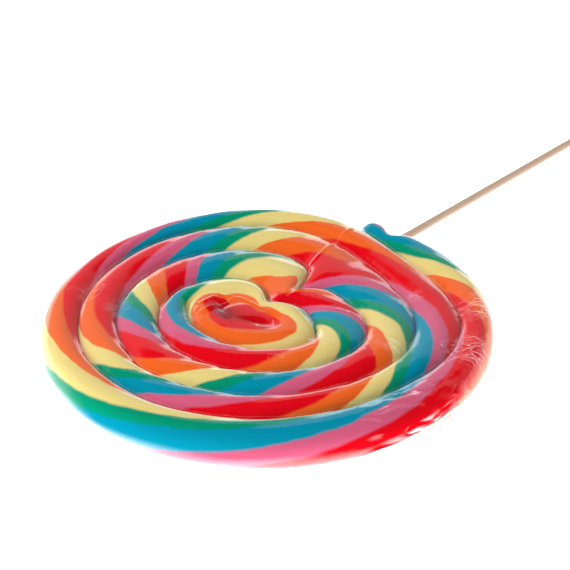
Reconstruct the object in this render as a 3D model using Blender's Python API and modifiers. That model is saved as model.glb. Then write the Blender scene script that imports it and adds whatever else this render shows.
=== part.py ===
"""A swirl lollipop lying flat: one coiled, twisted rope of hard candy and its wooden stick.

Frame, in metres: the origin is the middle of the candy's flat underside, +Z points up through
the disc, and +X runs along the stick, away from the candy.

The rope winds anticlockwise from the heart outwards. Places along it are given in degrees from
the stick's direction, counted on over every turn, so 725 is 5 degrees past the stick after two
full turns. The line where the rope touches its next turn is a groove, and groove_radius gives
its distance from the coil's heart. Between a groove and the next one out lies one turn of rope.
"""
import math

import bmesh
import bpy

DISC_THICKNESS = 0.0135
MID_HEIGHT = DISC_THICKNESS / 2

# The coil: where its heart lies, how the grooves open out, and how far the turns sit off centre.
HEART = (-0.0047, 0.0052)
FIRST_GROOVE_RADIUS = 0.0181
TURN_PITCH = 0.0121
SHIFT_ALONG_STICK = (0.0082, -0.0013)
SHIFT_ACROSS_STICK = (0.0021, -0.0013)

# Each hand-laid push or bulge of the groove: how far out, at which place, spread over how much.
# The large inward ones are turns that the stick squeezed in when it was pressed into the coil.
PUSHES = (
    (-0.0065, 310, 25),
    (-0.0195, 358, 33.5),
    (-0.0075, 403, 70),
    (-0.0130, 703.5, 34.5),
    (-0.0120, 716.5, 8.5),
    (0.0015, 896, 13),
    (-0.0115, 1066, 37.5),
    (0.0085, 1096, 70),
    (-0.0050, 1358, 50),
    (-0.0160, 1426, 33),
    (0.0145, 1434, 70),
)

# The pit that the rope's first bend leaves at the heart.
PIT_LENGTH = 0.021
PIT_WIDTH = 0.0105
PIT_DIRECTION = 95
PIT_FLOOR_HEIGHT = 0.0055

STEPS_PER_TURN = 60
STEP = 360 / STEPS_PER_TURN
FIRST_GROOVE_PLACE = 96
ROPE_END_PLACE = 1446
FOLD_STEPS = 8

# A turn's section: an arched crown above, and a flat strip with rounded shoulders below.
CROWN_SEGMENTS = 8
UNDERSIDE = ((-1, 0.0032), (-0.86, 0.0010), (-0.6, 0), (0.6, 0), (0.86, 0.0010), (1, 0.0032))
TOP_GROOVE_HEIGHT = MID_HEIGHT + 0.0024
RIM_EDGE = 0.0008
NARROW_TURN = 0.0125
NARROWEST_CROWN = 0.8

# The rounded tip of the rope's outer end, as rings: part of the tip's length, part of the section.
TIP_LENGTH = 0.0035
TIP_RINGS = ((0.45, 0.88), (0.85, 0.52))

STICK_DIAMETER = 0.003
STICK_LENGTH = 0.250
STICK_START = 0.0130
STICK_SIDES = 16
STICK_CHAMFER = 0.0004
CLEARANCE = 0.0003
BORE_SIDES = 12


def clear_scene():
    for obj in list(bpy.data.objects):
        bpy.data.objects.remove(obj, do_unlink=True)


def make_collection(name):
    collection = bpy.data.collections.new(name)
    bpy.context.scene.collection.children.link(collection)
    return collection


def make_material(name, colour, roughness):
    material = bpy.data.materials.new(name)
    material.use_nodes = True
    shader = material.node_tree.nodes["Principled BSDF"]
    shader.inputs["Base Color"].default_value = (*colour, 1)
    shader.inputs["Roughness"].default_value = roughness
    shader.inputs["Metallic"].default_value = 0
    return material


def link_object(name, mesh, material, collection):
    obj = bpy.data.objects.new(name, mesh)
    mesh.materials.append(material)
    collection.objects.link(obj)
    return obj


def mix(low, high, share):
    return low + (high - low) * share


def ease(share):
    share = min(max(share, 0), 1)
    return share * share * (3 - 2 * share)


def groove_radius(place):
    """Distance from the coil's heart to the groove at a place along it."""
    turns = place / 360
    angle = math.radians(place)
    radius = FIRST_GROOVE_RADIUS + TURN_PITCH * turns
    radius += (SHIFT_ALONG_STICK[0] + SHIFT_ALONG_STICK[1] * turns) * math.cos(angle)
    radius += (SHIFT_ACROSS_STICK[0] + SHIFT_ACROSS_STICK[1] * turns) * math.sin(angle)
    for distance, centre, spread in PUSHES:
        radius += distance * math.exp(-(((place - centre) / spread) ** 2))
    return radius


def pit_radius(place):
    """Distance from the coil's heart to the oval pit's edge, in the direction of a place."""
    angle = math.radians(place - PIT_DIRECTION)
    return 1 / math.hypot(math.cos(angle) * 2 / PIT_LENGTH, math.sin(angle) * 2 / PIT_WIDTH)


def edge_place(edge):
    return FIRST_GROOVE_PLACE + (edge - STEPS_PER_TURN) * STEP


def edge_radius(edge):
    """Radius of an edge line: the pit's edge for the first turn, and the groove from there on."""
    if edge < STEPS_PER_TURN:
        return pit_radius(edge_place(edge))
    return groove_radius(edge_place(edge))


LAST_COLUMN = STEPS_PER_TURN + round((ROPE_END_PLACE - FIRST_GROOVE_PLACE) / STEP)
LAST_EDGE = LAST_COLUMN + STEPS_PER_TURN


def rim_share(edge):
    """0 where an edge is a groove between two turns, 1 where it is the disc's free rim."""
    return ease((edge - LAST_COLUMN) / 2)


def crown_samples():
    """Places across a turn, from -1 at its inner edge to 1 at its outer edge, closer at the edges."""
    return [-math.cos(math.pi * i / CROWN_SEGMENTS) for i in range(CROWN_SEGMENTS + 1)]


def crown_height(across, inner_height, outer_height, width):
    """Height of an arched crown over a turn whose edges are at the given heights."""
    base = mix(inner_height, outer_height, (across + 1) / 2)
    fullness = mix(NARROWEST_CROWN, 1, ease(width / NARROW_TURN))
    crest = MID_HEIGHT + MID_HEIGHT * fullness
    return mix(base, crest, math.sqrt(max(0, 1 - across * across)))


def underside_height(across, inner_height, outer_height):
    """Height of the underside: flat strip, rounded shoulders, and the given heights at the edges."""
    if across <= -1:
        return inner_height
    if across >= 1:
        return outer_height
    for (low, low_height), (high, high_height) in zip(UNDERSIDE, UNDERSIDE[1:]):
        if across <= high:
            if low == -1:
                low_height = inner_height
            if high == 1:
                high_height = outer_height
            return mix(low_height, high_height, (across - low) / (high - low))


def edge_heights(edge):
    """Top and bottom height of an edge line."""
    if edge < STEPS_PER_TURN:
        return PIT_FLOOR_HEIGHT, 0
    share = rim_share(edge)
    top = mix(TOP_GROOVE_HEIGHT, MID_HEIGHT + RIM_EDGE, share)
    bottom = mix(UNDERSIDE[0][1], MID_HEIGHT - RIM_EDGE, share)
    return top, bottom


def section_height(column, radius, top):
    """Height of a turn's surface, above or below, at a distance from the heart."""
    inner, outer = edge_radius(column), edge_radius(column + STEPS_PER_TURN)
    across = 2 * (radius - inner) / (outer - inner) - 1
    side = 0 if top else 1
    inner_height, outer_height = edge_heights(column)[side], edge_heights(column + STEPS_PER_TURN)[side]
    if top:
        return crown_height(across, inner_height, outer_height, outer - inner)
    return underside_height(across, inner_height, outer_height)


def surface_height(column, radius, top):
    """Height of the coil's surface. Where the rope's start is folded into the heart, the groove
    between the first two turns rises out of one broad crown over FOLD_STEPS steps."""
    own = section_height(column, radius, top)
    steps_from_fold = column if column < STEPS_PER_TURN else column - STEPS_PER_TURN
    if steps_from_fold >= FOLD_STEPS or column >= 2 * STEPS_PER_TURN:
        return own
    inner, outer = edge_radius(steps_from_fold), edge_radius(steps_from_fold + 2 * STEPS_PER_TURN)
    across = 2 * (radius - inner) / (outer - inner) - 1
    if top:
        broad = crown_height(across, PIT_FLOOR_HEIGHT, TOP_GROOVE_HEIGHT, outer - inner)
    else:
        broad = underside_height(across, 0, UNDERSIDE[0][1])
    return mix(broad, own, ease(steps_from_fold / FOLD_STEPS))


def coil_point(place, radius, height):
    angle = math.radians(place)
    return (HEART[0] + radius * math.cos(angle), HEART[1] + radius * math.sin(angle), height)


def add_side(bm, samples, top):
    """One side of the coil as a grid: a column of points across the rope at every step."""
    edges = []
    for edge in range(LAST_EDGE + 1):
        column = edge if edge <= LAST_COLUMN else edge - STEPS_PER_TURN
        height = surface_height(column, edge_radius(edge), top)
        edges.append(bm.verts.new(coil_point(edge_place(edge), edge_radius(edge), height)))
    columns = []
    for column in range(LAST_COLUMN + 1):
        inner, outer = edge_radius(column), edge_radius(column + STEPS_PER_TURN)
        points = [edges[column]]
        for across in samples[1:-1]:
            radius = mix(inner, outer, (across + 1) / 2)
            height = surface_height(column, radius, top)
            points.append(bm.verts.new(coil_point(edge_place(column), radius, height)))
        columns.append(points + [edges[column + STEPS_PER_TURN]])
    return edges, columns


def bridge(bm, first, second):
    """Triangles between two rows of points that may hold different numbers of them."""
    i = j = 0
    while i < len(first) - 1 or j < len(second) - 1:
        first_share = (i + 1) / (len(first) - 1)
        second_share = (j + 1) / (len(second) - 1)
        if j == len(second) - 1 or (i < len(first) - 1 and first_share <= second_share):
            bm.faces.new((first[i], first[i + 1], second[j]))
            i += 1
        else:
            bm.faces.new((first[i], second[j + 1], second[j]))
            j += 1


def skin_side(bm, edges, columns, heart_height):
    """Faces of one side: the rope's turns, the fold where the rope starts, and the heart."""
    fold = STEPS_PER_TURN - 1
    for column in range(LAST_COLUMN):
        if column != fold:
            for i in range(len(columns[column]) - 1):
                here, ahead = columns[column], columns[column + 1]
                bm.faces.new((here[i], here[i + 1], ahead[i + 1], ahead[i]))
    bridge(bm, columns[fold], columns[0] + columns[STEPS_PER_TURN][1:])
    heart = bm.verts.new((HEART[0], HEART[1], heart_height))
    for edge in range(STEPS_PER_TURN):
        bm.faces.new((edges[edge], edges[(edge + 1) % STEPS_PER_TURN], heart))


def close_tip(bm, ring):
    """A rounded tip over the ring of points at the rope's outer end."""
    place = math.radians(edge_place(LAST_COLUMN))
    inner, outer = edge_radius(LAST_COLUMN), edge_radius(LAST_EDGE)
    centre = coil_point(edge_place(LAST_COLUMN), (inner + outer) / 2, MID_HEIGHT)
    forwards = (-math.sin(place), math.cos(place), 0)
    rows = [ring]
    for forward, size in TIP_RINGS:
        row = []
        for point in ring:
            spot = [mix(centre[k], point.co[k], size) + forwards[k] * forward * TIP_LENGTH for k in range(3)]
            row.append(bm.verts.new(spot))
        rows.append(row)
    for low, high in zip(rows, rows[1:]):
        for i in range(len(ring)):
            after = (i + 1) % len(ring)
            bm.faces.new((low[i], low[after], high[after], high[i]))
    tip = bm.verts.new([centre[k] + forwards[k] * TIP_LENGTH for k in range(3)])
    for i in range(len(ring)):
        bm.faces.new((rows[-1][i], rows[-1][(i + 1) % len(ring)], tip))


def make_coil_mesh():
    bm = bmesh.new()
    top_edges, top_columns = add_side(bm, crown_samples(), top=True)
    low_edges, low_columns = add_side(bm, [across for across, _ in UNDERSIDE], top=False)
    skin_side(bm, top_edges, top_columns, PIT_FLOOR_HEIGHT)
    skin_side(bm, low_edges, low_columns, 0)
    for edge in range(LAST_COLUMN, LAST_EDGE):
        bm.faces.new((top_edges[edge], top_edges[edge + 1], low_edges[edge + 1], low_edges[edge]))
    close_tip(bm, top_columns[LAST_COLUMN] + low_columns[LAST_COLUMN][::-1])
    bmesh.ops.recalc_face_normals(bm, faces=bm.faces)
    mesh = bpy.data.meshes.new("candy")
    bm.to_mesh(mesh)
    bm.free()
    return mesh


def make_rod_mesh(name, start, end, radius, sides):
    """A round rod along X at the stick's height, as an object's mesh."""
    bpy.ops.mesh.primitive_cylinder_add(vertices=sides, radius=radius, depth=end - start)
    obj = bpy.context.object
    mesh = obj.data
    mesh.name = name
    bpy.data.objects.remove(obj)
    bm = bmesh.new()
    bm.from_mesh(mesh)
    for vertex in bm.verts:
        x, y, z = vertex.co
        vertex.co = ((start + end) / 2 + z, HEART[1] + y, MID_HEIGHT - x)
    bm.to_mesh(mesh)
    bm.free()
    return mesh


def make_candy(collection, cutters):
    material = make_material("hard_candy", (0.75, 0.16, 0.08), 0.2)
    candy = link_object("candy", make_coil_mesh(), material, collection)
    bore_mesh = make_rod_mesh("bore", STICK_START - CLEARANCE, STICK_START + STICK_LENGTH,
                              STICK_DIAMETER / 2 + CLEARANCE, BORE_SIDES)
    bore = link_object("bore", bore_mesh, material, cutters)
    bore.hide_render = True
    bore.display_type = "WIRE"
    cut = candy.modifiers.new("stick_bore", "BOOLEAN")
    cut.operation = "DIFFERENCE"
    cut.solver = "EXACT"
    cut.object = bore
    return candy


def make_stick(collection):
    material = make_material("pale_wood", (0.62, 0.44, 0.27), 0.7)
    mesh = make_rod_mesh("stick", STICK_START, STICK_START + STICK_LENGTH, STICK_DIAMETER / 2, STICK_SIDES)
    stick = link_object("stick", mesh, material, collection)
    chamfer = stick.modifiers.new("chamfer", "BEVEL")
    chamfer.width = STICK_CHAMFER
    chamfer.segments = 1
    chamfer.limit_method = "ANGLE"
    chamfer.angle_limit = math.radians(60)
    return stick


def main():
    clear_scene()
    parts = make_collection("swirl_lollipop")
    cutters = make_collection("cutters")
    make_candy(parts, cutters)
    make_stick(parts)


main()
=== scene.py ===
"""Looks for a swirl lollipop: the twisted rope of candy, the clear film over it and the stick.

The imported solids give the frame, in metres: the origin is the middle of the disc's underside,
+Z points up and +X runs along the stick. Places along the coiled rope are in degrees from the
stick's direction, counted on over every turn from the heart outwards.
"""
import math

import bpy
import numpy as np
from bpy.props import FloatProperty, FloatVectorProperty, IntProperty, PointerProperty
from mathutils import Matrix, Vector
from mathutils.bvhtree import BVHTree
from mathutils.geometry import convex_hull_2d


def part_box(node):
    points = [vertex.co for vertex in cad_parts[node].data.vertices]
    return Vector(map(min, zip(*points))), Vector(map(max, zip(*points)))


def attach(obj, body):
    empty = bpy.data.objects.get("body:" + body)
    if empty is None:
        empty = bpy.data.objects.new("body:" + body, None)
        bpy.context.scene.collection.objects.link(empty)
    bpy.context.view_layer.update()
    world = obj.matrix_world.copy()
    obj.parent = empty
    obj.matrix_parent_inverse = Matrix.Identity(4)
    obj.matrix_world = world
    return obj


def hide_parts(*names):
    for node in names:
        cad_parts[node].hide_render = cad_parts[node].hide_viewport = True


bl_info = {
    "name": "Swirl Lollipop",
    "version": (1, 0, 0),
    "blender": (4, 5, 0),
    "location": "View3D > Sidebar > Lollipop",
    "description": "Dresses a packed swirl lollipop: striped candy rope, clear film, stick and stage",
    "category": "Object",
}

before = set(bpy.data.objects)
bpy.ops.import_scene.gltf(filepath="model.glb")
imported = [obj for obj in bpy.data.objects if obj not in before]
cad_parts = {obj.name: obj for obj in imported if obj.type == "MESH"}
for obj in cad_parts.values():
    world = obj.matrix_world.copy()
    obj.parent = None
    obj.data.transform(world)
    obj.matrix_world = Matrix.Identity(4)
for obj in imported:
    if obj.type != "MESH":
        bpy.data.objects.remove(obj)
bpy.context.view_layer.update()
CANDY_LOW, CANDY_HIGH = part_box("candy")
STICK_LOW, STICK_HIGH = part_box("stick")
BODY = "root"

# The coil, as the solid has it. The spiral's numbers and its pushes aren't design values: a program
# fitted them together to a traced groove, and they were then rounded.
HEART = (-0.0047, (STICK_LOW.y + STICK_HIGH.y) / 2)
MID_HEIGHT = (CANDY_LOW.z + CANDY_HIGH.z) / 2
FIRST_GROOVE_RADIUS = 0.0181
TURN_PITCH = 0.0121
SHIFT_ALONG_STICK = (0.0082, -0.0013)
SHIFT_ACROSS_STICK = (0.0021, -0.0013)
# Where the groove strays from an even spiral: how far out, at which place, spread over how much.
PUSHES = (
    (-0.0065, 310, 25),
    (-0.0195, 358, 33.5),
    (-0.0075, 403, 70),
    (-0.0130, 703.5, 34.5),
    (-0.0120, 716.5, 8.5),
    (0.0015, 896, 13),
    (-0.0115, 1066, 37.5),
    (0.0085, 1096, 70),
    (-0.0050, 1358, 50),
    (-0.0160, 1426, 33),
    (0.0145, 1434, 70),
)
PIT_LENGTH = 0.021
PIT_WIDTH = 0.0105
PIT_DIRECTION = 95

# The rope: its two ends, where its first bend folds over into the coil, and its section.
ROPE_START, ROPE_END = -322, 1450
START_TAPER, END_TAPER = 16, 4.5
FOLD_START, FOLD_END = 66, 112
# Steps along the rope are this much closer together at its two ends, where it rounds off.
END_CROWDING = 0.1
# A narrow turn is lower: its share of the full height at no width, and the width at full height.
NARROW_FULLNESS, FULL_WIDTH = 0.8, 0.0125
# The crown's height is a power of half an oval's: under 1 it is flatter.
CROWN_FLATNESS = 0.72
# The belly is cut flat where it would reach this many times the half height.
BELLY_DEPTH = 1.12
# Strands sink between each other by this share of their relief.
STRAND_SINK = 0.6
# The underside stands this far off the table, and the rope's tucked-in start a little farther.
UNDERSIDE_GAP = 0.0001
START_LIFT = 0.0004
START_LIFT_LENGTH = 150
# The start also lies a little inside and below the broad first bend, and comes up out of it.
START_INSET = 0.0010
START_CREST = 0.92
# The rope's loose end is drawn in a little where it meets the stick.
END_DENT_DEPTH = 0.0042
END_DENT_PLACE = 1439.5
END_DENT_SPREAD = 3.4
# The pit's floor of candy, how far it reaches under the rope round it, and its place in the red.
PIT_FLOOR_HEIGHT = 0.0072
PIT_FLOOR_REACH = 1.5
PIT_FLOOR_GAP = 0.00005
PIT_FLOOR_STRIPE = 0.70

# The rope's six strands, in order round it: name, share of the way round, colour. The shares
# are fitted too.
STRANDS = (
    ("yellow", 0.17, (0.56, 0.455, 0.16)),
    ("green", 0.113, (0.0005, 0.206, 0.114)),
    ("blue", 0.172, (0.0005, 0.197, 0.29)),
    ("pink", 0.13, (0.47, 0.081, 0.155)),
    ("red", 0.225, (0.54, 0.0015, 0.007)),
    ("orange", 0.19, (0.62, 0.096, 0.013)),
)
# The crest's part of the way round, counted from the inner side.
CREST = 0.25
# How far the rope is twisted, in full twists, at places along it. It was twisted unevenly by hand,
# so this follows no rule. Rows at 219, 300 and from 462 on are a program's fit, unchanged, and the
# others were set from strand edges picked one by one.
TWISTS = (
    (-322, 0.06), (-290, 0.06), (-264, -0.06), (-189, -0.22), (-120, -0.12), (-98, -0.083),
    (-78, -0.033), (-61, 0.024), (-46, 0.07), (-6, 0.07), (38, 0.06), (66, 0.065), (84, 0.17),
    (101, 0.28), (219, 0.65), (300, 1.32), (333, 1.76), (352, 1.83), (362, 1.88), (372, 2.01),
    (386, 2.09), (397, 2.15), (462, 2.96), (498, 3.38), (534, 3.72), (618, 4.56), (630, 4.63),
    (648, 4.95), (720, 5.74), (747, 6.02), (798, 6.60), (864, 6.85), (912, 7.34), (966, 7.76),
    (1014, 8.44), (1104, 9.05), (1146, 9.46), (1344, 10.48), (1386, 10.75), (1440, 11.41),
    (1452, 11.46),
)
FEWEST_TWISTS, MOST_TWISTS = -0.5, 12
# The strands' edges wander and bleed by these parts of the way round.
STRAND_WANDER = 0.05
STRAND_BLEED = 0.012
WANDER_SCALE = 90
# On the first turn the strands inside the crown are pressed closer together.
SQUEEZE_START, SQUEEZE_END = 0.10, 0.18
SQUEEZE = 0.11
# Where the orange strand is nipped down to a thin line along the pit.
NIP_PLACE = -258
NIP_SPREAD = 32
NIP_RISE = 0.11
NIP_SQUEEZE = 0.08

# The film's net of points: rows round the rim and under the base, and how far off the candy
# the rim's rows start. The rays that find the candy start this far out.
FILM_RIM_ROWS = 18
FILM_BASE_ROWS = 4
FILM_SHOULDER = 0.95
FILM_OUTSIDE = 0.15
FILM_ABOVE = 0.03
# Underneath, the film stands this far off the table.
FILM_FLOOR_GAP = 0.00004
# How many times the sheet is pulled taut, and how many times it is rounded off afterwards.
FILM_PULLS = 160
FILM_SMOOTHINGS = 2
# How much of the way from the grooves' floors up to a fully taut sheet the film stays. Over the
# pit, given as middle, spread and strength, it is fully taut.
FILM_SPAN = 0.45
PIT_COVER = ((HEART, PIT_LENGTH * 0.7, 1.0),)
# Long creases: start and end on the disc in the frame's XY, height and half width.
CREASES = (
    ((0.0336, 0.0109), (0.0651, 0.0166), 0.0005, 0.0011),
    ((0.0095, 0.0014), (0.0220, 0.0010), 0.0005, 0.0014),
    ((-0.0104, -0.0161), (-0.0004, -0.0219), 0.0006, 0.0016),
    ((-0.0163, 0.0160), (0.0012, 0.0138), 0.0012, 0.0015),
    ((-0.0157, 0.0172), (-0.0120, 0.0198), 0.0006, 0.0010),
    ((-0.0120, 0.0198), (-0.0023, 0.0198), 0.0006, 0.0010),
    ((-0.0023, 0.0198), (0.0007, 0.0144), 0.0006, 0.0010),
    ((0.0007, 0.0144), (0.0001, 0.0022), 0.0006, 0.0010),
)
# Patches of fine crumpling: middle, spread and strength.
CRUMPLED = (
    ((-0.0285, 0.0545), 0.006, 0.4),
    ((-0.0305, 0.0400), 0.005, 0.4),
    ((-0.0190, 0.0165), 0.004, 0.4),
    ((-0.0330, 0.0760), 0.007, 0.4),
    ((0.0410, -0.0300), 0.004, 0.5),
    ((0.0240, -0.0640), 0.009, 0.8),
    ((0.0480, -0.0510), 0.008, 0.8),
    ((0.0550, -0.0660), 0.006, 0.8),
    ((0.0110, -0.0450), 0.005, 0.6),
    ((0.0130, -0.0790), 0.006, 1.0),
    ((-0.0200, -0.0220), 0.004, 0.4),
)
# Where the sheet is gathered in broad pleats round the rim: middle, spread and strength.
PLEATED = (
    ((-0.0240, -0.0715), 0.009, 0.8),
    ((-0.0110, -0.0735), 0.010, 1.0),
    ((0.0010, -0.0730), 0.007, 0.7),
)
FILM_IOR = 1.5
# Directions nearer the vertical than this (as a sine) belong to the film's flat top and underside.
UPRIGHT = 0.99
# Shares of the film's relief: its wide waves, fine cells, drawn lines and pleats.
WIDE_RELIEF, CELL_RELIEF, LINE_RELIEF, PLEAT_RELIEF = 0.6, 0.4, 0.5, 6
RELIEF_DEPTH = 0.0006
# Scales of the noise behind them, and how lines and pleats are drawn out round and across the disc.
WAVE_SCALE, CELL_SCALE, LINE_SCALE, PLEAT_SCALE = 60, 200, 1500, 160
LINE_STRETCH = (0.07, 0.18, 0.2)
PLEAT_STRETCH = (0.03, 1.2)

# The stage. The camera looks along CAMERA_HEADING, and headings run round from +X.
CAMERA_HEADING = math.radians(42)
CAMERA_TURN = math.radians(-0.589)
CAMERA_PITCH = math.radians(29.78)
LENS = 129.03
FLOOR_SIZE = 6
# Just under the lollipop, so that the two never share a surface.
FLOOR_DROP = 0.0002
FLOOR_GLOW = 2.6
# The room's own light, brighter towards a heading by this share and darker opposite it.
ROOM_LIGHT = 0.61
ROOM_HEADING = math.radians(200)
ROOM_LEAN = 0.4
# How bright the room itself looks to the camera.
BACKDROP = 1.2
# What the film mirrors: a dim room, a far panel and a bright horizon up to these heights (as
# sines), and the lit table below.
ROOM_GLOSS = 0.02
PANEL_GLOSS, PANEL_TOP = 0.5, 0.62
HORIZON_GLOSS, HORIZON_TOP = 1.6, 0.28
BELOW_GLOSS = 6
# Where each of these fades: by how far a direction faces away from the camera, or by its rise.
FAR_SIDE_FADE = (0.05, 0.5)
HORIZON_FADE, PANEL_FADE = 0.1, 0.05
BELOW_FADE = (-0.92, -0.45)
SOFTBOX_POWER = 16
SOFTBOX_HEADING = math.radians(140)
SOFTBOX_DISTANCE, SOFTBOX_HEIGHT, SOFTBOX_SIZE = 0.6, 0.85, 1.2


class Value:
    """A number in a node tree. Arithmetic on it adds Math nodes to the tree."""

    def __init__(self, nodes, socket):
        self.nodes = nodes
        self.socket = socket

    def __add__(self, other):
        return self.nodes.math("ADD", self, other)

    def __radd__(self, other):
        return self.nodes.math("ADD", other, self)

    def __sub__(self, other):
        return self.nodes.math("SUBTRACT", self, other)

    def __rsub__(self, other):
        return self.nodes.math("SUBTRACT", other, self)

    def __mul__(self, other):
        return self.nodes.math("MULTIPLY", self, other)

    def __rmul__(self, other):
        return self.nodes.math("MULTIPLY", other, self)

    def __truediv__(self, other):
        return self.nodes.math("DIVIDE", self, other)

    def __rtruediv__(self, other):
        return self.nodes.math("DIVIDE", other, self)

    def __neg__(self):
        return self.nodes.math("MULTIPLY", self, -1)


class Nodes:
    """Short calls that add nodes to a node tree and link them."""

    def __init__(self, tree):
        self.tree = tree

    def feed(self, socket, value):
        if isinstance(value, Value):
            value = value.socket
        if isinstance(value, bpy.types.NodeSocket):
            self.tree.links.new(value, socket)
        else:
            socket.default_value = value

    def add(self, kind, inputs=None, **settings):
        node = self.tree.nodes.new(kind)
        for name, value in settings.items():
            setattr(node, name, value)
        for key, value in (inputs or {}).items():
            self.feed(node.inputs[key], value)
        return node

    def value(self, node, output=0):
        return Value(self, node.outputs[output])

    def math(self, operation, *values):
        return self.value(self.add("ShaderNodeMath", dict(enumerate(values)), operation=operation))

    def mix(self, low, high, share):
        return low + (high - low) * share

    def ease(self, value, start, end):
        """0 before start, 1 after end, and a smooth rise between."""
        node = self.add("ShaderNodeMapRange", {"Value": value, "From Min": start, "From Max": end},
                        interpolation_type="SMOOTHSTEP")
        return self.value(node)

    def curve(self, value, points, handle="AUTO_CLAMPED"):
        """A drawn curve through points whose two numbers both run from 0 to 1."""
        node = self.add("ShaderNodeFloatCurve", {"Value": value})
        drawn = node.mapping.curves[0]
        while len(drawn.points) < len(points):
            drawn.points.new(0.5, 0.5)
        for spot, place in zip(drawn.points, points):
            spot.location = place
            spot.handle_type = handle
        node.mapping.update()
        return self.value(node)

    def noise(self, vector, scale, detail):
        return self.value(self.add("ShaderNodeTexNoise", {"Vector": vector, "Scale": scale,
                                                          "Detail": detail}), "Fac")

    def attribute(self, name):
        return self.value(self.add("ShaderNodeAttribute", attribute_name=name), "Fac")

    def split(self, vector):
        node = self.add("ShaderNodeSeparateXYZ", {0: vector})
        return self.value(node, 0), self.value(node, 1), self.value(node, 2)

    def join(self, x, y, z):
        return self.add("ShaderNodeCombineXYZ", {0: x, 1: y, 2: z}).outputs[0]


def new_tree(name, inputs, outputs, kind="GeometryNodeTree"):
    """A node tree with named inputs and outputs. Each is (name, socket type, default)."""
    tree = bpy.data.node_groups.new(name, kind)
    for in_out, sockets in (("INPUT", inputs), ("OUTPUT", outputs)):
        for socket_name, socket_type, default in sockets:
            socket = tree.interface.new_socket(socket_name, in_out=in_out, socket_type=socket_type)
            if default is not None:
                socket.default_value = default
    nodes = Nodes(tree)
    start = nodes.add("NodeGroupInput")
    end = nodes.add("NodeGroupOutput")
    return nodes, start, end


def run_tree(name, nodes, values):
    """The plain mesh that a geometry tree makes, as an object with no modifier left on it."""
    obj = bpy.data.objects.new(name, bpy.data.meshes.new(name))
    bpy.context.scene.collection.objects.link(obj)
    modifier = obj.modifiers.new(name, "NODES")
    modifier.node_group = nodes.tree
    for item in nodes.tree.interface.items_tree:
        if item.in_out == "INPUT" and item.name in values:
            modifier[item.identifier] = values[item.name]
    depsgraph = bpy.context.evaluated_depsgraph_get()
    mesh = bpy.data.meshes.new_from_object(obj.evaluated_get(depsgraph), preserve_all_data_layers=True,
                                           depsgraph=depsgraph)
    mesh.name = name
    obj.modifiers.clear()
    obj.data = mesh
    return obj


def build_groove_group():
    """Node group: the distance from the coil's heart to the groove at a place along it."""
    nodes, start, end = new_tree(
        "Groove radius",
        [("Place", "NodeSocketFloat", 0.0), ("First Groove Radius", "NodeSocketFloat", FIRST_GROOVE_RADIUS),
         ("Turn Pitch", "NodeSocketFloat", TURN_PITCH)],
        [("Radius", "NodeSocketFloat", None)])
    place = nodes.value(start, "Place")
    turns = place / 360
    angle = nodes.math("RADIANS", place)
    radius = nodes.value(start, "First Groove Radius") + nodes.value(start, "Turn Pitch") * turns
    radius = radius + (SHIFT_ALONG_STICK[0] + SHIFT_ALONG_STICK[1] * turns) * nodes.math("COSINE", angle)
    radius = radius + (SHIFT_ACROSS_STICK[0] + SHIFT_ACROSS_STICK[1] * turns) * nodes.math("SINE", angle)
    for distance, centre, spread in PUSHES:
        offset = (place - centre) / spread
        radius = radius + distance * nodes.math("EXPONENT", -(offset * offset))
    nodes.feed(end.inputs["Radius"], radius)
    return nodes.tree


def groove_at(nodes, group, place, start):
    node = nodes.add("GeometryNodeGroup", node_tree=group)
    nodes.feed(node.inputs["Place"], place)
    for name in ("First Groove Radius", "Turn Pitch"):
        nodes.feed(node.inputs[name], start.outputs[name])
    return nodes.value(node)


def pit_edge_at(nodes, place):
    """Distance from the heart to the oval pit's edge in the direction of a place."""
    angle = nodes.math("RADIANS", place - PIT_DIRECTION)
    along = nodes.math("COSINE", angle) * (2 / PIT_LENGTH)
    across = nodes.math("SINE", angle) * (2 / PIT_WIDTH)
    return 1 / nodes.math("SQRT", along * along + across * across)


def twist_points():
    """The twist curve's points, with the place along the rope and the twists both scaled to 0..1."""
    return [((place - ROPE_START) / (ROPE_END - ROPE_START),
             (twists - FEWEST_TWISTS) / (MOST_TWISTS - FEWEST_TWISTS)) for place, twists in TWISTS]


def strand_points():
    """Curve from the way round the rope to strands counted evenly, both scaled to 0..1."""
    points, share = [(0, 0)], 0
    for count, strand in enumerate(STRANDS):
        share += strand[1]
        points.append((min(share, 1), (count + 1) / len(STRANDS)))
    return points


def store_stripe(nodes, geometry, stripe):
    """Nodes that keep each corner's place round the six strands, for the candy's colours."""
    node = nodes.add("GeometryNodeStoreNamedAttribute",
                     {"Geometry": geometry, "Name": "stripe", "Value": stripe},
                     data_type="FLOAT", domain="CORNER")
    return node.outputs[0]


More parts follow.
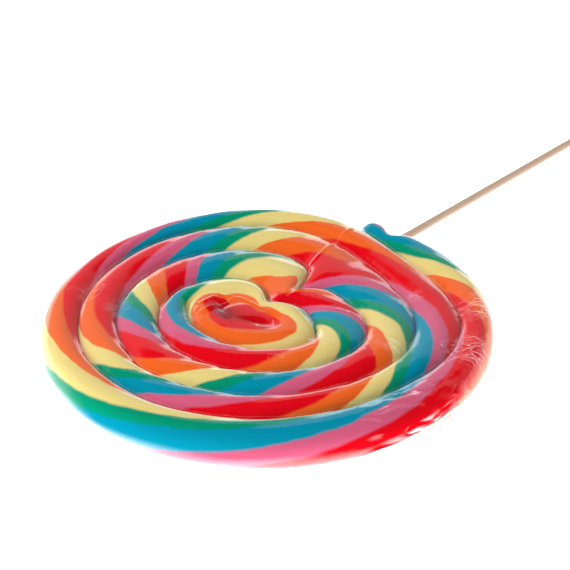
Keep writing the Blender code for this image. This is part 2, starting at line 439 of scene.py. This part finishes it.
def build_rope_tree(groove_group):
    """Geometry tree: a grid rolled into a tube that fills the space between a groove and the
    next, striped and twisted, and joined with the pit's floor."""
    nodes, start, end = new_tree(
        "Coiled candy rope",
        [("Steps", "NodeSocketInt", 900), ("Ring Points", "NodeSocketInt", 49),
         ("First Groove Radius", "NodeSocketFloat", FIRST_GROOVE_RADIUS),
         ("Turn Pitch", "NodeSocketFloat", TURN_PITCH), ("Overlap", "NodeSocketFloat", 0.04),
         ("Strand Relief", "NodeSocketFloat", 0.0003), ("Material", "NodeSocketMaterial", None)],
        [("Geometry", "NodeSocketGeometry", None)])
    grid = nodes.add("GeometryNodeMeshGrid", {"Size X": 1.0, "Size Y": 1.0,
                                              "Vertices X": start.outputs["Steps"],
                                              "Vertices Y": start.outputs["Ring Points"]})
    x, y, _ = nodes.split(nodes.add("GeometryNodeInputPosition").outputs[0])
    along, around = x + 0.5, y + 0.5
    along = along - nodes.math("SINE", along * (2 * math.pi)) * END_CROWDING
    place = ROPE_START + along * (ROPE_END - ROPE_START)

    twist = nodes.mix(FEWEST_TWISTS, MOST_TWISTS, nodes.curve(along, twist_points()))
    fold = nodes.ease(place, FOLD_START, FOLD_END)
    from_nip = (place - NIP_PLACE) / NIP_SPREAD
    nip = nodes.math("EXPONENT", -(from_nip * from_nip))
    inside = 1 - nodes.ease(around - nip * NIP_RISE, SQUEEZE_START, SQUEEZE_END)
    stripe = around - CREST + twist - inside * (1 - fold) * (SQUEEZE + nip * NIP_SQUEEZE)
    strand = nodes.curve(nodes.math("FRACT", stripe), strand_points(), "VECTOR") * len(STRANDS)
    swell = nodes.math("ABSOLUTE", nodes.math("SINE", strand * math.pi)) - STRAND_SINK
    relief = nodes.value(start, "Strand Relief") * swell

    risen = nodes.ease(place, FOLD_START - 360, FOLD_END - 360)
    pit_edge = pit_edge_at(nodes, place) + START_INSET * (1 - risen)
    inner = nodes.mix(pit_edge, groove_at(nodes, groove_group, place, start), fold)
    outer = groove_at(nodes, groove_group, nodes.math("MAXIMUM", place + 360, FOLD_START), start)
    from_dent = (place - END_DENT_PLACE) / END_DENT_SPREAD
    outer = outer - END_DENT_DEPTH * nodes.math("EXPONENT", -(from_dent * from_dent))
    from_start = nodes.math("MINIMUM", (place - ROPE_START) / START_TAPER, 1)
    from_end = nodes.math("MINIMUM", (ROPE_END - place) / END_TAPER, 1)
    rounding = nodes.math("MINIMUM", from_start, from_end)
    rounding = nodes.math("SQRT", nodes.math("MAXIMUM", rounding * (2 - rounding), 0))
    width = outer - inner
    half_width = width * 0.5 * (1 + nodes.value(start, "Overlap")) * rounding
    fullness = nodes.mix(NARROW_FULLNESS, 1, nodes.ease(width, 0, FULL_WIDTH))
    ring = around * (2 * math.pi)
    reach, rise = nodes.math("COSINE", ring), nodes.math("SINE", ring)
    radius = (inner + outer) * 0.5 - (half_width + relief * rounding) * reach
    fullness = fullness * nodes.mix(START_CREST, 1, risen)
    flat_rise = nodes.math("POWER", nodes.math("MAXIMUM", rise, 0), CROWN_FLATNESS)
    crest = MID_HEIGHT * flat_rise * fullness * rounding + relief * rise * rounding
    belly = MID_HEIGHT * BELLY_DEPTH * rise * rounding + relief * rise
    is_top = nodes.math("GREATER_THAN", rise, 0)
    tucked = 1 - nodes.ease(place, ROPE_START, ROPE_START + START_LIFT_LENGTH)
    height = nodes.math("MAXIMUM", MID_HEIGHT + nodes.mix(belly, crest, is_top),
                        UNDERSIDE_GAP + START_LIFT * tucked)
    angle = nodes.math("RADIANS", place)
    position = nodes.join(HEART[0] + radius * nodes.math("COSINE", angle),
                          HEART[1] + radius * nodes.math("SINE", angle), height)

    striped = store_stripe(nodes, grid.outputs["Mesh"], stripe)
    rolled = nodes.add("GeometryNodeSetPosition", {"Geometry": striped, "Position": position})
    joined = nodes.add("GeometryNodeJoinGeometry")
    nodes.tree.links.new(rolled.outputs[0], joined.inputs[0])
    nodes.tree.links.new(build_pit_floor(nodes), joined.inputs[0])
    closed = nodes.add("GeometryNodeMergeByDistance", {"Geometry": joined.outputs[0], "Distance": 1e-6})
    smooth = nodes.add("GeometryNodeSetShadeSmooth", {"Geometry": closed.outputs[0]})
    real = nodes.add("GeometryNodeRealizeInstances", {"Geometry": smooth.outputs[0]})
    painted = nodes.add("GeometryNodeSetMaterial", {"Geometry": real.outputs[0],
                                                    "Material": start.outputs["Material"]})
    nodes.feed(end.inputs["Geometry"], painted.outputs[0])
    return nodes


def build_pit_floor(nodes):
    """Nodes for a lens of candy that closes the pit under the coil's first turn."""
    ball = nodes.add("GeometryNodeMeshUVSphere", {"Segments": 64, "Rings": 24, "Radius": 1.0})
    x, y, z = nodes.split(nodes.add("GeometryNodeInputPosition").outputs[0])
    place = nodes.math("DEGREES", nodes.math("ARCTAN2", y, x))
    reach = pit_edge_at(nodes, place) * PIT_FLOOR_REACH
    position = nodes.join(HEART[0] + x * reach, HEART[1] + y * reach,
                          PIT_FLOOR_HEIGHT * 0.5 * (1 + z) + PIT_FLOOR_GAP)
    shaped = nodes.add("GeometryNodeSetPosition", {"Geometry": ball.outputs["Mesh"], "Position": position})
    return store_stripe(nodes, shaped.outputs[0], PIT_FLOOR_STRIPE)


def ridge(spots, start, end, height, half_width):
    """Height of a tent-like crease over points of the disc, fading out at its two ends."""
    x, y = spots[..., 0] - start[0], spots[..., 1] - start[1]
    run = np.array(end) - np.array(start)
    length = math.hypot(*run)
    along = (x * run[0] + y * run[1]) / length
    across = np.abs(x * run[1] - y * run[0]) / length
    tent = np.clip(1 - across / half_width, 0, 1) ** 1.4
    fade = 2 * half_width
    ends = np.clip(along / fade, 0, 1) * np.clip((length - along) / fade, 0, 1)
    return height * tent * ends


def patches(spots, places):
    """The given strength in the middle of each patch, fading to 0 round it."""
    share = np.zeros(spots.shape[:-1])
    for (middle_x, middle_y), spread, strength in places:
        away = ((spots[..., 0] - middle_x) ** 2 + (spots[..., 1] - middle_y) ** 2) / spread ** 2
        share = np.maximum(share, strength * np.exp(-away ** 1.5))
    return share


def taut_outline(spots):
    """How far a band drawn tight round points lies from the middle, in each point's direction."""
    count = len(spots)
    corners = sorted(convex_hull_2d([Vector(spot) for spot in spots]))
    reach = np.hypot(spots[:, 0], spots[:, 1])
    for corner, after in zip(corners, corners[1:] + [corners[0] + count]):
        start, run = spots[corner], spots[after % count] - spots[corner]
        for column in range(corner, after):
            way = spots[column % count] / np.hypot(*spots[column % count])
            crossing = start[0] * run[1] - start[1] * run[0]
            reach[column % count] = crossing / (way[0] * run[1] - way[1] * run[0])
    return reach


def film_rays(candy, settings):
    """Lines along which the film's points may slide: rows of starts inside the candy and of
    directions, up over the top, fanned out round the rim and down underneath."""
    turn = np.linspace(0, 2 * math.pi, settings.film_columns, endpoint=False)
    outward = np.stack((np.cos(turn), np.sin(turn), np.zeros_like(turn)), axis=-1)
    surface = BVHTree.FromPolygons([vertex.co for vertex in candy.data.vertices],
                                   [face.vertices for face in candy.data.polygons])
    middle = Vector((0, 0, MID_HEIGHT))
    gaps = [surface.ray_cast(middle + Vector(way) * FILM_OUTSIDE, -Vector(way))[3] for way in outward]
    rim = FILM_OUTSIDE - np.array(gaps)
    shoulder = taut_outline(outward[:, :2] * rim[:, None]) - MID_HEIGHT * FILM_SHOULDER
    starts, ways = [], []

    def add_row(share, tilt):
        starts.append(outward * (shoulder * share)[:, None] + (0, 0, MID_HEIGHT))
        ways.append(outward * math.cos(tilt) + np.array((0, 0, math.sin(tilt))))

    for row in range(settings.film_rows):
        add_row(row / settings.film_rows, math.pi / 2)
    for row in range(FILM_RIM_ROWS + 1):
        add_row(1, math.pi / 2 - math.pi * row / FILM_RIM_ROWS)
    for row in range(1, FILM_BASE_ROWS + 1):
        add_row(1 - row / FILM_BASE_ROWS, -math.pi / 2)
    return surface, np.array(starts), np.array(ways)


def film_limits(surface, starts, ways, gap):
    """How far along its line each point of the film would touch the candy, and the table."""
    touching = np.full(starts.shape[:2], gap)
    for row, column in np.ndindex(touching.shape):
        way = Vector(ways[row, column])
        outside = Vector(starts[row, column]) + way * FILM_ABOVE
        distance = surface.ray_cast(outside, -way, FILM_ABOVE)[3]
        if distance is not None:
            touching[row, column] += FILM_ABOVE - distance
    lowest = (MID_HEIGHT - FILM_FLOOR_GAP) / np.maximum(-ways[..., 2], 1e-6)
    return np.minimum(touching, lowest), lowest


def pull_taut(starts, ways, touching, lowest):
    """How far along its line each point of the fully taut film lies: on the candy, or stretched
    from crown to crown over the grooves and the pit."""
    ideal = starts + ways * MID_HEIGHT
    row_step = np.linalg.norm(np.diff(ideal, axis=0), axis=-1).mean(axis=1)
    ring_step = np.linalg.norm(np.roll(ideal, 1, axis=1) - ideal, axis=-1).mean(axis=1)
    ring_step = np.maximum(ring_step, row_step[0])
    before = 1 / row_step[:-1, None] ** 2
    after = 1 / row_step[1:, None] ** 2
    beside = 1 / ring_step[1:-1, None] ** 2
    total = before + after + 2 * beside
    slide = touching.copy()
    # Over the pit the sheet starts level with the highest crown, and settles from there.
    over_pit = (patches(starts, PIT_COVER) > 0.5) & (ways[..., 2] > UPRIGHT)
    slide[over_pit] = touching[over_pit].max()
    for _ in range(FILM_PULLS):
        spot = starts + ways * slide[..., None]
        pull = spot[:-2] * before[..., None] + spot[2:] * after[..., None]
        pull += (np.roll(spot, 1, axis=1) + np.roll(spot, -1, axis=1))[1:-1] * beside[..., None]
        change = ((pull / total[..., None] - spot[1:-1]) * ways[1:-1]).sum(axis=-1)
        slide[1:-1] = np.clip(slide[1:-1] + change, touching[1:-1], lowest[1:-1])
        slide[0] = max(slide[1].mean(), touching[0].max())
    return slide


def round_off(slide, touching):
    """The film's points evened out with their neighbours, but never pushed into the candy."""
    rounded = slide.copy()
    rounded[1:-1] = (slide[:-2] + slide[2:] + 2 * slide[1:-1]) / 4
    rounded = (np.roll(rounded, 1, axis=1) + np.roll(rounded, -1, axis=1) + 2 * rounded) / 4
    slide[1:-1] = np.maximum(rounded, touching)[1:-1]


def close_net(name, spots, shares):
    """A closed mesh from rows of rings, each end row drawn together into one point."""
    rows, columns = spots.shape[:2]

    def drawn_together(values):
        inner = values[1:-1].reshape(-1, *values.shape[2:])
        return np.concatenate((values[0].mean(axis=0, keepdims=True), inner,
                               values[-1].mean(axis=0, keepdims=True)))

    vertices = drawn_together(spots)
    last = len(vertices) - 1
    faces = []
    for column in range(columns):
        after = (column + 1) % columns
        faces.append((0, 1 + column, 1 + after))
        faces.append((last, last - columns + after, last - columns + column))
        for row in range(rows - 3):
            here = 1 + row * columns
            below = here + columns
            faces.append((here + column, below + column, below + after, here + after))
    mesh = bpy.data.meshes.new(name)
    mesh.from_pydata(vertices.tolist(), [], faces)
    for key, share in shares.items():
        attribute = mesh.attributes.new(key, "FLOAT", "POINT")
        attribute.data.foreach_set("value", drawn_together(share).astype(np.float32))
    mesh.shade_smooth()
    mesh.update()
    obj = bpy.data.objects.new(name, mesh)
    bpy.context.scene.collection.objects.link(obj)
    return obj


def make_film(settings):
    """The clear film, drawn tight over the candy, with its creases."""
    surface, starts, ways = film_rays(bpy.data.objects["candy_rope"], settings)
    touching, lowest = film_limits(surface, starts, ways, settings.film_gap)
    slide = pull_taut(starts, ways, touching, lowest)
    tightness = np.maximum(patches(starts, PIT_COVER), FILM_SPAN)
    slide = touching + (slide - touching) * tightness
    for _ in range(FILM_SMOOTHINGS):
        round_off(slide, touching)
    # Underneath, the film lies flat on the table.
    slide = np.where(ways[..., 2] < -UPRIGHT, lowest, slide)
    spots = starts + ways * slide[..., None]
    lift = np.max([ridge(spots, *crease) for crease in CREASES], axis=0)
    # Creases fade out round the rim.
    lift *= np.clip(ways[..., 2] + 0.8, 0, 1)
    spots += ways * lift[..., None]
    return close_net("clear_film", spots, {"crumpled": patches(spots, CRUMPLED),
                                           "pleated": patches(spots, PLEATED)})


def build_film_material():
    """Thin clear film: see-through straight on, and a mirror of the lights at a slant. In
    patches it is crumpled into fine cells and drawn lines, or gathered in pleats."""
    material, nodes, shader = new_material("Clear film")
    spot = nodes.add("ShaderNodeTexCoord").outputs["Object"]
    x, y, z = nodes.split(spot)
    turn = nodes.math("ARCTAN2", y, x)
    reach = nodes.math("SQRT", x * x + y * y)

    wide = nodes.noise(spot, WAVE_SCALE, 2.0)
    warp = (nodes.noise(spot, 300.0, 1.0) - 0.5) * 0.004
    bent = nodes.join(x + warp, y - warp, z)
    edge = nodes.add("ShaderNodeTexVoronoi", {"Vector": bent, "Scale": CELL_SCALE},
                     feature="DISTANCE_TO_EDGE")
    cells = 1 - nodes.ease(nodes.value(edge, "Distance"), 0, 0.09)
    # Noise drawn out across the turns, and swayed so that its lines aren't straight.
    sway = (nodes.noise(spot, 110.0, 1.0) - 0.5) * 0.012
    drawn_out = nodes.join(turn * LINE_STRETCH[0] + sway, reach * LINE_STRETCH[1] + sway,
                           z * LINE_STRETCH[2])
    lines = nodes.ease(nodes.noise(drawn_out, LINE_SCALE, 2.0), 0.5, 0.75)
    folded = nodes.join(turn * PLEAT_STRETCH[0], reach * PLEAT_STRETCH[1], z)
    pleats = nodes.math("ABSOLUTE", nodes.noise(folded, PLEAT_SCALE, 1.0) - 0.5) * 2

    height = wide * WIDE_RELIEF
    height = height + (cells * CELL_RELIEF + lines * LINE_RELIEF) * nodes.attribute("crumpled")
    height = height + pleats * PLEAT_RELIEF * nodes.attribute("pleated")
    bump = nodes.add("ShaderNodeBump", {"Height": height, "Strength": 0.8, "Distance": RELIEF_DEPTH})
    # Seen from inside, the sheet mirrors no more than from outside.
    inside = nodes.value(nodes.add("ShaderNodeNewGeometry"), "Backfacing")
    fresnel = nodes.add("ShaderNodeFresnel", {"IOR": nodes.mix(FILM_IOR, 1 / FILM_IOR, inside),
                                              "Normal": bump.outputs[0]})
    shader.inputs["Base Color"].default_value = (1, 1, 1, 1)
    shader.inputs["Metallic"].default_value = 1
    shader.inputs["Roughness"].default_value = 0.1
    nodes.feed(shader.inputs["Alpha"], nodes.value(fresnel))
    nodes.feed(shader.inputs["Normal"], bump.outputs[0])
    return material


def new_material(name):
    material = bpy.data.materials.new(name)
    material.use_nodes = True
    nodes = Nodes(material.node_tree)
    return material, nodes, material.node_tree.nodes["Principled BSDF"]


def build_candy_material(settings):
    """Boiled sugar in six twisted strands. Its gloss is the film's over it."""
    material, nodes, shader = new_material("Striped candy")
    spot = nodes.add("ShaderNodeTexCoord").outputs["Object"]
    wander = (nodes.noise(spot, WANDER_SCALE, 2.0) - 0.5) * STRAND_WANDER
    stripe = nodes.math("FRACT", nodes.attribute("stripe") + wander)
    ramp = nodes.add("ShaderNodeValToRGB", {"Fac": stripe})
    stops, share = [], 0
    for name, width, _ in STRANDS:
        colour = (*getattr(settings, name), 1)
        stops.append((share + (STRAND_BLEED if share else 0), colour))
        share += width
        stops.append((min(share, 1) - STRAND_BLEED, colour))
    stops.append((1, (*getattr(settings, STRANDS[0][0]), 1)))
    ramp.color_ramp.interpolation = "LINEAR"
    elements = ramp.color_ramp.elements
    while len(elements) < len(stops):
        elements.new(0.5)
    for element, (position, colour) in zip(elements, stops):
        element.position = position
        element.color = colour
    nodes.feed(shader.inputs["Base Color"], ramp.outputs["Color"])
    shader.inputs["Roughness"].default_value = 0.35
    shader.inputs["Specular IOR Level"].default_value = 0.0
    return material


def build_stick_material(settings):
    """Pale, dry wood with long fine grain."""
    material, nodes, shader = new_material("Pale stick wood")
    spot = nodes.add("ShaderNodeTexCoord").outputs["Object"]
    stretch = nodes.add("ShaderNodeMapping", {"Vector": spot, "Scale": (0.04, 1.0, 1.0)})
    grain = nodes.noise(stretch.outputs[0], 2600.0, 4.0)
    colour = nodes.add("ShaderNodeMix", {"Factor": grain, "A": (*settings.wood_dark, 1),
                                         "B": (*settings.wood_light, 1)}, data_type="RGBA")
    nodes.feed(shader.inputs["Base Color"], colour.outputs[2])
    nodes.feed(shader.inputs["Roughness"], 0.55 + grain * 0.2)
    return material


class LollipopSettings(bpy.types.PropertyGroup):
    """Sizes and colours that a user may change."""
    steps: IntProperty(
        name="Steps", description="Steps along the whole rope", default=900, min=100)
    ring_points: IntProperty(
        name="Ring Points", description="Points round the rope", default=49, min=9)
    overlap: FloatProperty(
        name="Overlap", description="How far turns press into each other, as a share of their width",
        default=0.04, min=0, max=0.2, subtype="FACTOR")
    strand_relief: FloatProperty(
        name="Strand Relief", description="How far each strand swells out of the rope",
        default=0.0003, unit="LENGTH")
    film_gap: FloatProperty(
        name="Film Gap", description="From the candy's crowns to the film",
        default=0.00012, unit="LENGTH")
    film_columns: IntProperty(
        name="Film Columns", description="Points round the film", default=600, min=60)
    film_rows: IntProperty(
        name="Film Rows", description="Rings of points over the disc's top", default=110, min=20)
    wood_light: FloatVectorProperty(
        name="Light Wood", description="The stick's paler grain",
        default=(0.44, 0.31, 0.225), subtype="COLOR")
    wood_dark: FloatVectorProperty(
        name="Dark Wood", description="The stick's darker grain",
        default=(0.35, 0.245, 0.175), subtype="COLOR")
    camera_distance: FloatProperty(
        name="Camera Distance", description="From the disc's middle to the camera",
        default=0.675, unit="LENGTH")
    camera_elevation: FloatProperty(
        name="Camera Elevation", description="How far above the table the camera looks from",
        default=math.radians(31), subtype="ANGLE")


for strand_name, _, strand_colour in STRANDS:
    LollipopSettings.__annotations__[strand_name] = FloatVectorProperty(
        name=strand_name.title(), description=f"Colour of the {strand_name} strand", subtype="COLOR",
        default=strand_colour)


class LOLLIPOP_OT_candy(bpy.types.Operator):
    """Make the coiled, twisted rope of striped candy"""
    bl_idname = "lollipop.candy"
    bl_label = "Make Candy"

    def execute(self, context):
        settings = context.scene.lollipop
        nodes = build_rope_tree(build_groove_group())
        candy = run_tree("candy_rope", nodes, {
            "Steps": settings.steps, "Ring Points": settings.ring_points, "Overlap": settings.overlap,
            "Strand Relief": settings.strand_relief, "First Groove Radius": FIRST_GROOVE_RADIUS,
            "Turn Pitch": TURN_PITCH, "Material": build_candy_material(settings)})
        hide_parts("candy")
        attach(candy, BODY)
        return {"FINISHED"}


class LOLLIPOP_OT_film(bpy.types.Operator):
    """Stretch the clear film over the candy"""
    bl_idname = "lollipop.film"
    bl_label = "Stretch Film"

    def execute(self, context):
        film = make_film(context.scene.lollipop)
        film.data.materials.append(build_film_material())
        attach(film, BODY)
        return {"FINISHED"}


class LOLLIPOP_OT_stick(bpy.types.Operator):
    """Finish the stick in pale wood"""
    bl_idname = "lollipop.stick"
    bl_label = "Finish Stick"

    def execute(self, context):
        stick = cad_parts["stick"]
        stick.data.materials.clear()
        stick.data.materials.append(build_stick_material(context.scene.lollipop))
        return {"FINISHED"}


class LOLLIPOP_OT_stage(bpy.types.Operator):
    """Set the pale floor, the soft lights and the camera"""
    bl_idname = "lollipop.stage"
    bl_label = "Set Stage"

    def execute(self, context):
        make_floor()
        make_lights(context.scene)
        make_camera(context.scene, context.scene.lollipop)
        return {"FINISHED"}


def make_floor():
    """A pale, glowing table top that fades into the room."""
    bpy.ops.mesh.primitive_plane_add(size=FLOOR_SIZE, location=(0, 0, -FLOOR_DROP))
    floor = bpy.context.object
    floor.name = "floor"
    material, _, shader = new_material("Pale floor")
    shader.inputs["Base Color"].default_value = (0.92, 0.92, 0.92, 1)
    shader.inputs["Roughness"].default_value = 0.6
    shader.inputs["Emission Color"].default_value = (1, 1, 1, 1)
    shader.inputs["Emission Strength"].default_value = FLOOR_GLOW
    floor.data.materials.append(material)
    # The film mirrors the world's own low band, not this bright floor.
    floor.visible_glossy = False


def towards(x, y, heading):
    """How far a direction points towards a heading, from 1 to -1."""
    return x * math.cos(heading) + y * math.sin(heading)


def make_lights(scene):
    """A white room for the candy's own colours, a bright low band and a dim top for its gloss,
    and one wide softbox overhead."""
    world = bpy.data.worlds.new("Soft studio")
    world.use_nodes = True
    nodes = Nodes(world.node_tree)
    x, y, rise = nodes.split(nodes.add("ShaderNodeTexCoord").outputs["Generated"])
    far_side = nodes.ease(towards(x, y, CAMERA_HEADING), *FAR_SIDE_FADE)
    horizon = 1 - nodes.ease(rise, HORIZON_TOP - HORIZON_FADE, HORIZON_TOP)
    panel = 1 - nodes.ease(rise, PANEL_TOP, PANEL_TOP + PANEL_FADE)
    below = 1 - nodes.ease(rise, *BELOW_FADE)
    gloss = ROOM_GLOSS + far_side * (PANEL_GLOSS * panel + HORIZON_GLOSS * horizon)
    gloss = gloss + BELOW_GLOSS * below
    room = ROOM_LIGHT * (1 + ROOM_LEAN * towards(x, y, ROOM_HEADING))
    path = nodes.add("ShaderNodeLightPath")
    strength = nodes.mix(room, gloss, nodes.value(path, "Is Glossy Ray"))
    strength = nodes.mix(strength, BACKDROP, nodes.value(path, "Is Camera Ray"))
    background = world.node_tree.nodes["Background"]
    background.inputs["Color"].default_value = (1, 1, 1, 1)
    nodes.feed(background.inputs["Strength"], strength)
    scene.world = world

    data = bpy.data.lights.new("overhead_softbox", "AREA")
    data.size = SOFTBOX_SIZE
    data.energy = SOFTBOX_POWER
    softbox = bpy.data.objects.new("overhead_softbox", data)
    softbox.location = (SOFTBOX_DISTANCE * math.cos(SOFTBOX_HEADING),
                        SOFTBOX_DISTANCE * math.sin(SOFTBOX_HEADING), SOFTBOX_HEIGHT)
    softbox.rotation_euler = (-softbox.location).to_track_quat("-Z", "Y").to_euler()
    softbox.visible_glossy = False
    scene.collection.objects.link(softbox)


def make_camera(scene, settings):
    """The camera, looking down on the disc along its heading."""
    data = bpy.data.cameras.new("camera")
    data.lens = LENS
    data.clip_start = 0.01
    camera = bpy.data.objects.new("camera", data)
    away = settings.camera_distance * math.cos(settings.camera_elevation)
    above = settings.camera_distance * math.sin(settings.camera_elevation)
    camera.location = (-away * math.cos(CAMERA_HEADING), -away * math.sin(CAMERA_HEADING),
                       MID_HEIGHT + above)
    turn = CAMERA_HEADING + CAMERA_TURN - math.pi / 2
    camera.rotation_euler = (math.pi / 2 - CAMERA_PITCH, 0, turn)
    scene.collection.objects.link(camera)
    scene.camera = camera
    scene.view_settings.view_transform = "Standard"


class LOLLIPOP_PT_panel(bpy.types.Panel):
    """Lists the lollipop's settings and steps"""
    bl_idname = "LOLLIPOP_PT_panel"
    bl_label = "Swirl Lollipop"
    bl_space_type = "VIEW_3D"
    bl_region_type = "UI"
    bl_category = "Lollipop"

    def draw(self, context):
        for name in LollipopSettings.__annotations__:
            self.layout.prop(context.scene.lollipop, name)
        for step in STEPS:
            self.layout.operator(step.bl_idname)


STEPS = (LOLLIPOP_OT_candy, LOLLIPOP_OT_film, LOLLIPOP_OT_stick, LOLLIPOP_OT_stage)
CLASSES = (LollipopSettings, *STEPS, LOLLIPOP_PT_panel)


def register():
    for cls in CLASSES:
        bpy.utils.register_class(cls)
    bpy.types.Scene.lollipop = PointerProperty(type=LollipopSettings)


def unregister():
    del bpy.types.Scene.lollipop
    for cls in reversed(CLASSES):
        bpy.utils.unregister_class(cls)


def main():
    register()
    bpy.ops.lollipop.candy()
    bpy.ops.lollipop.film()
    bpy.ops.lollipop.stick()
    bpy.ops.lollipop.stage()


if __name__ == "__main__":
    main()
